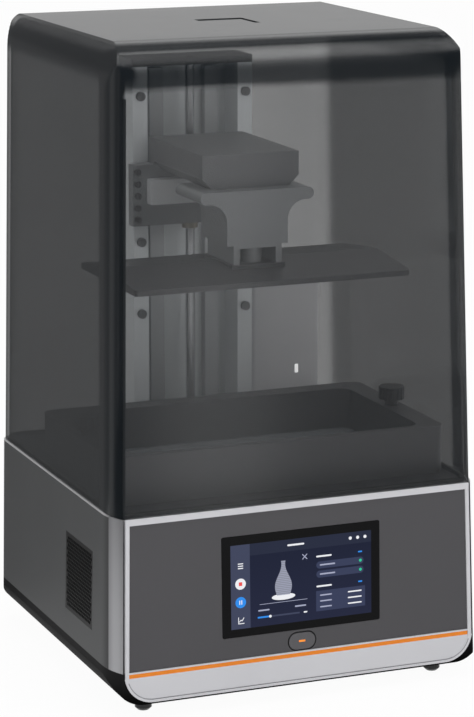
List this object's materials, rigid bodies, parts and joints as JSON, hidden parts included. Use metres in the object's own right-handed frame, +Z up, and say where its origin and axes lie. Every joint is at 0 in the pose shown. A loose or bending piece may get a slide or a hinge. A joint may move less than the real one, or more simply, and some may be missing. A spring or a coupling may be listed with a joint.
{
  "type": "resin printer",
  "caption": "Desktop resin printer: lift-off smoked hood, resin vat with thumbscrews, build plate on a screw-driven lift, tilted touch screen, power button, vent fan and air purifier.",
  "frame": {"origin": "On the table plane, under the middle of the printer's bounding box.", "axes": "X to the right as seen from the front, Y from the front to the back, Z up."},
  "size_m": [0.305, 0.2846, 0.5022],
  "materials": {
    "shell_grey": "satin grey paint",
    "frame_silver": "pale satin",
    "accent_orange": "orange",
    "panel_dark": "dark grey satin",
    "tray_black": "black",
    "foot_rubber": "matt black",
    "vent_black": "matt black",
    "screen_cover": "polished",
    "screen_display": "lit picture",
    "hood_smoked": "smoked, see-through",
    "metal_bright": "fine brushed",
    "metal_black": "black anodised",
    "steel": "ground",
    "nut_brass": "turned",
    "lcd_glass": "polished",
    "lens_clear": "clear",
    "film_clear": "clear film",
    "plastic_black": "black",
    "board_green": "circuit board",
    "purifier_grey": "grey",
    "filter_dark": "carbon filter",
    "lamp_white": "lit"
  },
  "bodies": {
    "base": {"accent_stripe": "accent_orange", "base_shell": "shell_grey", "bottom_tray": "tray_black", "button_switch": "board_green", "cooling_fan_frame": "plastic_black", "deck_plate": "metal_black", "exposure_lcd": "lcd_glass", "feet": "foot_rubber", "front_frame": "frame_silver", "front_panel": "panel_dark", "heat_sink": "metal_bright", "hood_seal": "foot_rubber", "lcd_frame": "vent_black", "led_board": "board_green", "lens_plate": "lens_clear", "light_box": "plastic_black", "lower_trim": "frame_silver", "main_board": "board_green", "power_inlet": "plastic_black", "power_supply": "metal_bright", "purifier_fan_frame": "plastic_black", "purifier_filter": "filter_dark", "purifier_housing": "purifier_grey", "purifier_lamp": "lamp_white", "rails": "steel", "rear_panel": "vent_black", "screen_glass": "screen_cover", "switch_frame": "plastic_black", "touch_display": "screen_display", "tower_cap": "metal_bright", "tower_channel": "metal_bright", "tower_screws": "steel", "usb_port": "steel", "vent_fan_frame": "plastic_black", "vent_grille": "vent_black", "z_motor": "steel"},
    "hood": {"hood_shell": "hood_smoked"},
    "carriage": {"carriage_plate": "metal_black", "carriage_block": "metal_black", "rail_blocks": "steel", "lead_nut": "nut_brass", "carriage_bolts": "steel", "arm_bar": "metal_black", "arm": "metal_black", "platform_bracket": "metal_black", "platform_neck": "metal_black", "leveling_ball": "steel", "build_plate": "metal_bright"},
    "lead_screw": {"lead_screw": "steel"},
    "vat": {"vat_body": "metal_black", "release_film": "film_clear", "film_frame": "metal_black"},
    "thumbscrew_left": {"thumbscrew_left": "metal_black"},
    "thumbscrew_right": {"thumbscrew_right": "metal_black"},
    "power_button": {"power_button": "panel_dark", "button_mark": "accent_orange"},
    "rocker": {"rocker": "plastic_black"},
    "vent_fan": {"vent_fan_rotor": "plastic_black"},
    "cooling_fan": {"cooling_fan_rotor": "plastic_black"},
    "purifier_fan": {"purifier_fan_rotor": "plastic_black"}
  },
  "joints": [
    {"name": "hood_lift", "type": "slide", "parent": "base", "child": "hood", "axis": [0, 0, 1], "range_m": [0, 0.36]},
    {"name": "carriage_lift", "type": "slide", "parent": "base", "child": "carriage", "axis": [0, 0, 1], "range_m": [-0.151, 0.079]},
    {"name": "lead_screw_spin", "type": "hinge", "parent": "base", "child": "lead_screw", "pos_m": [0, 0.092, 0.3], "axis": [0, 0, 1], "range_deg": [-13600, 7120]},
    {"name": "vat_lift", "type": "slide", "parent": "base", "child": "vat", "axis": [0, 0, 1], "range_m": [0, 0.06]},
    {"name": "thumbscrew_left_turn", "type": "hinge", "parent": "vat", "child": "thumbscrew_left", "pos_m": [-0.12915, -0.02184, 0.2], "axis": [0, 0, 1], "range_deg": [0, 1440]},
    {"name": "thumbscrew_right_turn", "type": "hinge", "parent": "vat", "child": "thumbscrew_right", "pos_m": [0.12915, -0.02184, 0.2], "axis": [0, 0, 1], "range_deg": [0, 1440]},
    {"name": "power_button_press", "type": "slide", "parent": "base", "child": "power_button", "axis": [0, 0.9994, -0.0338], "range_m": [0, 0.0012], "stiffness_N_per_m": 600},
    {"name": "rocker_tilt", "type": "hinge", "parent": "base", "child": "rocker", "pos_m": [-0.025, 0.1383, 0.092], "axis": [1, 0, 0], "range_deg": [-18, 0]},
    {"name": "vent_fan_spin", "type": "hinge", "parent": "base", "child": "vent_fan", "pos_m": [-0.14, -0.06, 0.0885], "axis": [1, 0, 0], "continuous": true},
    {"name": "cooling_fan_spin", "type": "hinge", "parent": "base", "child": "cooling_fan", "pos_m": [0, -0.02454, 0.035], "axis": [0, 0, 1], "continuous": true},
    {"name": "purifier_fan_spin", "type": "hinge", "parent": "base", "child": "purifier_fan", "pos_m": [0.093, 0.1175, 0.1897], "axis": [0, 1, 0], "continuous": true}
  ],
  "couplings": [
    {"joint": "lead_screw_spin", "follows": "carriage_lift", "rad_per_m": 1570.8}
  ]
}
